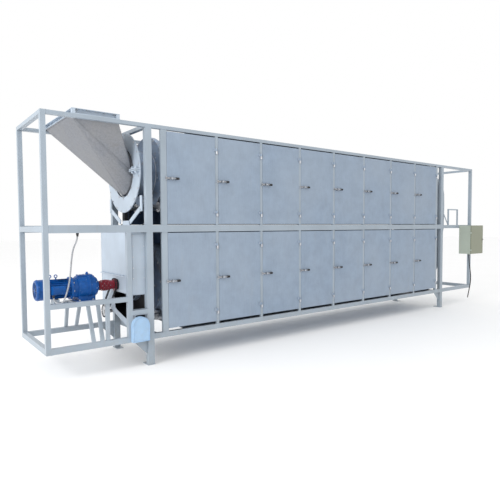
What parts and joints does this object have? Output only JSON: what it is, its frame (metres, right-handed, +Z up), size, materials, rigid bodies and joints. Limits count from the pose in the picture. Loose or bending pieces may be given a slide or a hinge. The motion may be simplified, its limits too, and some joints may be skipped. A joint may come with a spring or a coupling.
{
  "type": "two-deck rotary drum dryer",
  "caption": "Continuous dryer with stacked rotating drums in a door-fronted cabinet on a tube frame, fed by a chute and turned by a gearmotor and chains.",
  "frame": {"origin": "on the floor, at the centre of the four anchored legs' bolt holes", "axes": "+X along the machine from the feed end to the control box end, +Y from the doors to the back, +Z up"},
  "size_m": [8.22, 1.32, 2.745],
  "materials": {
    "frame_paint": "semi-gloss paint",
    "door_paint": "satin paint",
    "galvanised_sheet": "dull bare sheet",
    "hood_paint": "semi-gloss paint",
    "outlet_paint": "semi-gloss paint",
    "motor_blue": "gloss paint",
    "coupling_red": "satin paint",
    "drum_steel": "rolled steel",
    "shaft_steel": "turned steel",
    "black_iron": "oiled",
    "latch_chrome": "polished",
    "hardware_zinc": "zinc plate",
    "box_paint": "powder coat",
    "box_door_paint": "powder coat",
    "cable_black": "matt",
    "conduit_grey": "matt"
  },
  "bodies": {
    "machine_frame": {"end_posts": "frame_paint", "main_legs": "frame_paint", "long_rails": "frame_paint", "cross_rails": "frame_paint", "cabinet_mullions": "frame_paint", "cabinet_panels": "door_paint", "door_hardware": "hardware_zinc", "roller_bearings": "black_iron", "drive_chains": "black_iron", "feed_chute": "galvanised_sheet", "feed_collar": "hood_paint", "seal_ring": "hood_paint", "discharge_hood": "hood_paint", "outlet_spout": "outlet_paint", "transfer_hood": "hood_paint", "gearmotor": "motor_blue", "motor_stand": "frame_paint", "control_box": "box_paint", "supply_cable": "cable_black", "conduit_cable": "conduit_grey"},
    "door_body_upper_1": {"door_upper_1": "door_paint"},
    "latch_body_upper_1": {"latch_upper_1": "latch_chrome"},
    "door_body_upper_2": {"door_upper_2": "door_paint"},
    "latch_body_upper_2": {"latch_upper_2": "latch_chrome"},
    "door_body_upper_3": {"door_upper_3": "door_paint"},
    "latch_body_upper_3": {"latch_upper_3": "latch_chrome"},
    "door_body_upper_4": {"door_upper_4": "door_paint"},
    "latch_body_upper_4": {"latch_upper_4": "latch_chrome"},
    "door_body_upper_5": {"door_upper_5": "door_paint"},
    "latch_body_upper_5": {"latch_upper_5": "latch_chrome"},
    "door_body_upper_6": {"door_upper_6": "door_paint"},
    "latch_body_upper_6": {"latch_upper_6": "latch_chrome"},
    "door_body_upper_7": {"door_upper_7": "door_paint"},
    "latch_body_upper_7": {"latch_upper_7": "latch_chrome"},
    "door_body_upper_8": {"door_upper_8": "door_paint"},
    "latch_body_upper_8": {"latch_upper_8": "latch_chrome"},
    "door_body_lower_1": {"door_lower_1": "door_paint"},
    "latch_body_lower_1": {"latch_lower_1": "latch_chrome"},
    "door_body_lower_2": {"door_lower_2": "door_paint"},
    "latch_body_lower_2": {"latch_lower_2": "latch_chrome"},
    "door_body_lower_3": {"door_lower_3": "door_paint"},
    "latch_body_lower_3": {"latch_lower_3": "latch_chrome"},
    "door_body_lower_4": {"door_lower_4": "door_paint"},
    "latch_body_lower_4": {"latch_lower_4": "latch_chrome"},
    "door_body_lower_5": {"door_lower_5": "door_paint"},
    "latch_body_lower_5": {"latch_lower_5": "latch_chrome"},
    "door_body_lower_6": {"door_lower_6": "door_paint"},
    "latch_body_lower_6": {"latch_lower_6": "latch_chrome"},
    "door_body_lower_7": {"door_lower_7": "door_paint"},
    "latch_body_lower_7": {"latch_lower_7": "latch_chrome"},
    "door_body_lower_8": {"door_lower_8": "door_paint"},
    "latch_body_lower_8": {"latch_lower_8": "latch_chrome"},
    "lower_drum_body": {"lower_drum": "drum_steel"},
    "upper_drum_body": {"upper_drum": "drum_steel"},
    "roller_upper_front_body": {"roller_upper_front": "shaft_steel"},
    "roller_upper_back_body": {"roller_upper_back": "shaft_steel"},
    "roller_lower_front_body": {"roller_lower_front": "shaft_steel"},
    "roller_lower_back_body": {"roller_lower_back": "shaft_steel"},
    "coupling_shaft_body": {"coupling_shaft": "coupling_red"},
    "control_box_door_body": {"control_box_door": "box_door_paint"}
  },
  "joints": [
    {"name": "door_hinge_upper_1", "type": "hinge", "parent": "machine_frame", "child": "door_body_upper_1", "pos_m": [-2.106, -0.533, 1.715], "axis": [0, 0, 1], "range_deg": [0, 110]},
    {"name": "latch_turn_upper_1", "type": "hinge", "parent": "door_body_upper_1", "child": "latch_body_upper_1", "pos_m": [-2.7305, -0.545, 2.10475], "axis": [0, 1, 0], "range_deg": [0, 90]},
    {"name": "door_hinge_upper_2", "type": "hinge", "parent": "machine_frame", "child": "door_body_upper_2", "pos_m": [-1.406, -0.533, 1.715], "axis": [0, 0, 1], "range_deg": [0, 110]},
    {"name": "latch_turn_upper_2", "type": "hinge", "parent": "door_body_upper_2", "child": "latch_body_upper_2", "pos_m": [-2.0305, -0.545, 2.10475], "axis": [0, 1, 0], "range_deg": [0, 90]},
    {"name": "door_hinge_upper_3", "type": "hinge", "parent": "machine_frame", "child": "door_body_upper_3", "pos_m": [-0.706, -0.533, 1.715], "axis": [0, 0, 1], "range_deg": [0, 110]},
    {"name": "latch_turn_upper_3", "type": "hinge", "parent": "door_body_upper_3", "child": "latch_body_upper_3", "pos_m": [-1.3305, -0.545, 2.10475], "axis": [0, 1, 0], "range_deg": [0, 90]},
    {"name": "door_hinge_upper_4", "type": "hinge", "parent": "machine_frame", "child": "door_body_upper_4", "pos_m": [-0.006, -0.533, 1.715], "axis": [0, 0, 1], "range_deg": [0, 110]},
    {"name": "latch_turn_upper_4", "type": "hinge", "parent": "door_body_upper_4", "child": "latch_body_upper_4", "pos_m": [-0.6305, -0.545, 2.10475], "axis": [0, 1, 0], "range_deg": [0, 90]},
    {"name": "door_hinge_upper_5", "type": "hinge", "parent": "machine_frame", "child": "door_body_upper_5", "pos_m": [0.694, -0.533, 1.715], "axis": [0, 0, 1], "range_deg": [0, 110]},
    {"name": "latch_turn_upper_5", "type": "hinge", "parent": "door_body_upper_5", "child": "latch_body_upper_5", "pos_m": [0.0695, -0.545, 2.10475], "axis": [0, 1, 0], "range_deg": [0, 90]},
    {"name": "door_hinge_upper_6", "type": "hinge", "parent": "machine_frame", "child": "door_body_upper_6", "pos_m": [1.394, -0.533, 1.715], "axis": [0, 0, 1], "range_deg": [0, 110]},
    {"name": "latch_turn_upper_6", "type": "hinge", "parent": "door_body_upper_6", "child": "latch_body_upper_6", "pos_m": [0.7695, -0.545, 2.10475], "axis": [0, 1, 0], "range_deg": [0, 90]},
    {"name": "door_hinge_upper_7", "type": "hinge", "parent": "machine_frame", "child": "door_body_upper_7", "pos_m": [2.094, -0.533, 1.715], "axis": [0, 0, 1], "range_deg": [0, 110]},
    {"name": "latch_turn_upper_7", "type": "hinge", "parent": "door_body_upper_7", "child": "latch_body_upper_7", "pos_m": [1.4695, -0.545, 2.10475], "axis": [0, 1, 0], "range_deg": [0, 90]},
    {"name": "door_hinge_upper_8", "type": "hinge", "parent": "machine_frame", "child": "door_body_upper_8", "pos_m": [2.794, -0.533, 1.715], "axis": [0, 0, 1], "range_deg": [0, 110]},
    {"name": "latch_turn_upper_8", "type": "hinge", "parent": "door_body_upper_8", "child": "latch_body_upper_8", "pos_m": [2.1695, -0.545, 2.10475], "axis": [0, 1, 0], "range_deg": [0, 90]},
    {"name": "door_hinge_lower_1", "type": "hinge", "parent": "machine_frame", "child": "door_body_lower_1", "pos_m": [-2.106, -0.533, 0.515], "axis": [0, 0, 1], "range_deg": [0, 110]},
    {"name": "latch_turn_lower_1", "type": "hinge", "parent": "door_body_lower_1", "child": "latch_body_lower_1", "pos_m": [-2.7305, -0.545, 0.9295], "axis": [0, 1, 0], "range_deg": [0, 90]},
    {"name": "door_hinge_lower_2", "type": "hinge", "parent": "machine_frame", "child": "door_body_lower_2", "pos_m": [-1.406, -0.533, 0.515], "axis": [0, 0, 1], "range_deg": [0, 110]},
    {"name": "latch_turn_lower_2", "type": "hinge", "parent": "door_body_lower_2", "child": "latch_body_lower_2", "pos_m": [-2.0305, -0.545, 0.9295], "axis": [0, 1, 0], "range_deg": [0, 90]},
    {"name": "door_hinge_lower_3", "type": "hinge", "parent": "machine_frame", "child": "door_body_lower_3", "pos_m": [-0.706, -0.533, 0.515], "axis": [0, 0, 1], "range_deg": [0, 110]},
    {"name": "latch_turn_lower_3", "type": "hinge", "parent": "door_body_lower_3", "child": "latch_body_lower_3", "pos_m": [-1.3305, -0.545, 0.9295], "axis": [0, 1, 0], "range_deg": [0, 90]},
    {"name": "door_hinge_lower_4", "type": "hinge", "parent": "machine_frame", "child": "door_body_lower_4", "pos_m": [-0.006, -0.533, 0.515], "axis": [0, 0, 1], "range_deg": [0, 110]},
    {"name": "latch_turn_lower_4", "type": "hinge", "parent": "door_body_lower_4", "child": "latch_body_lower_4", "pos_m": [-0.6305, -0.545, 0.9295], "axis": [0, 1, 0], "range_deg": [0, 90]},
    {"name": "door_hinge_lower_5", "type": "hinge", "parent": "machine_frame", "child": "door_body_lower_5", "pos_m": [0.694, -0.533, 0.515], "axis": [0, 0, 1], "range_deg": [0, 110]},
    {"name": "latch_turn_lower_5", "type": "hinge", "parent": "door_body_lower_5", "child": "latch_body_lower_5", "pos_m": [0.0695, -0.545, 0.9295], "axis": [0, 1, 0], "range_deg": [0, 90]},
    {"name": "door_hinge_lower_6", "type": "hinge", "parent": "machine_frame", "child": "door_body_lower_6", "pos_m": [1.394, -0.533, 0.515], "axis": [0, 0, 1], "range_deg": [0, 110]},
    {"name": "latch_turn_lower_6", "type": "hinge", "parent": "door_body_lower_6", "child": "latch_body_lower_6", "pos_m": [0.7695, -0.545, 0.9295], "axis": [0, 1, 0], "range_deg": [0, 90]},
    {"name": "door_hinge_lower_7", "type": "hinge", "parent": "machine_frame", "child": "door_body_lower_7", "pos_m": [2.094, -0.533, 0.515], "axis": [0, 0, 1], "range_deg": [0, 110]},
    {"name": "latch_turn_lower_7", "type": "hinge", "parent": "door_body_lower_7", "child": "latch_body_lower_7", "pos_m": [1.4695, -0.545, 0.9295], "axis": [0, 1, 0], "range_deg": [0, 90]},
    {"name": "door_hinge_lower_8", "type": "hinge", "parent": "machine_frame", "child": "door_body_lower_8", "pos_m": [2.794, -0.533, 0.515], "axis": [0, 0, 1], "range_deg": [0, 110]},
    {"name": "latch_turn_lower_8", "type": "hinge", "parent": "door_body_lower_8", "child": "latch_body_lower_8", "pos_m": [2.1695, -0.545, 0.9295], "axis": [0, 1, 0], "range_deg": [0, 90]},
    {"name": "lower_drum_spin", "type": "hinge", "parent": "machine_frame", "child": "lower_drum_body", "pos_m": [0, 0, 0.92], "axis": [1, 0, 0], "continuous": true},
    {"name": "upper_drum_spin", "type": "hinge", "parent": "machine_frame", "child": "upper_drum_body", "pos_m": [0, 0, 2.19], "axis": [1, 0, 0], "continuous": true},
    {"name": "roller_upper_front_spin", "type": "hinge", "parent": "machine_frame", "child": "roller_upper_front_body", "pos_m": [0, -0.31417, 1.78788], "axis": [1, 0, 0], "continuous": true},
    {"name": "roller_upper_back_spin", "type": "hinge", "parent": "machine_frame", "child": "roller_upper_back_body", "pos_m": [0, 0.31417, 1.78788], "axis": [1, 0, 0], "continuous": true},
    {"name": "roller_lower_front_spin", "type": "hinge", "parent": "machine_frame", "child": "roller_lower_front_body", "pos_m": [0, -0.31417, 0.51788], "axis": [1, 0, 0], "continuous": true},
    {"name": "roller_lower_back_spin", "type": "hinge", "parent": "machine_frame", "child": "roller_lower_back_body", "pos_m": [0, 0.31417, 0.51788], "axis": [1, 0, 0], "continuous": true},
    {"name": "coupling_shaft_spin", "type": "hinge", "parent": "machine_frame", "child": "coupling_shaft_body", "pos_m": [-3.32, -0.025, 0.883], "axis": [1, 0, 0], "continuous": true},
    {"name": "control_box_door_hinge", "type": "hinge", "parent": "machine_frame", "child": "control_box_door_body", "pos_m": [3.626, -0.776, 1.09], "axis": [0, 0, 1], "range_deg": [-110, 0]}
  ],
  "couplings": [
    {"joint": "upper_drum_spin", "follows": "lower_drum_spin", "ratio": 1},
    {"joint": "roller_upper_front_spin", "follows": "lower_drum_spin", "ratio": -7.4838},
    {"joint": "roller_upper_back_spin", "follows": "lower_drum_spin", "ratio": -7.4838},
    {"joint": "roller_lower_front_spin", "follows": "lower_drum_spin", "ratio": -7.4838},
    {"joint": "roller_lower_back_spin", "follows": "lower_drum_spin", "ratio": -7.4838},
    {"joint": "coupling_shaft_spin", "follows": "lower_drum_spin", "ratio": -7.4838}
  ]
}
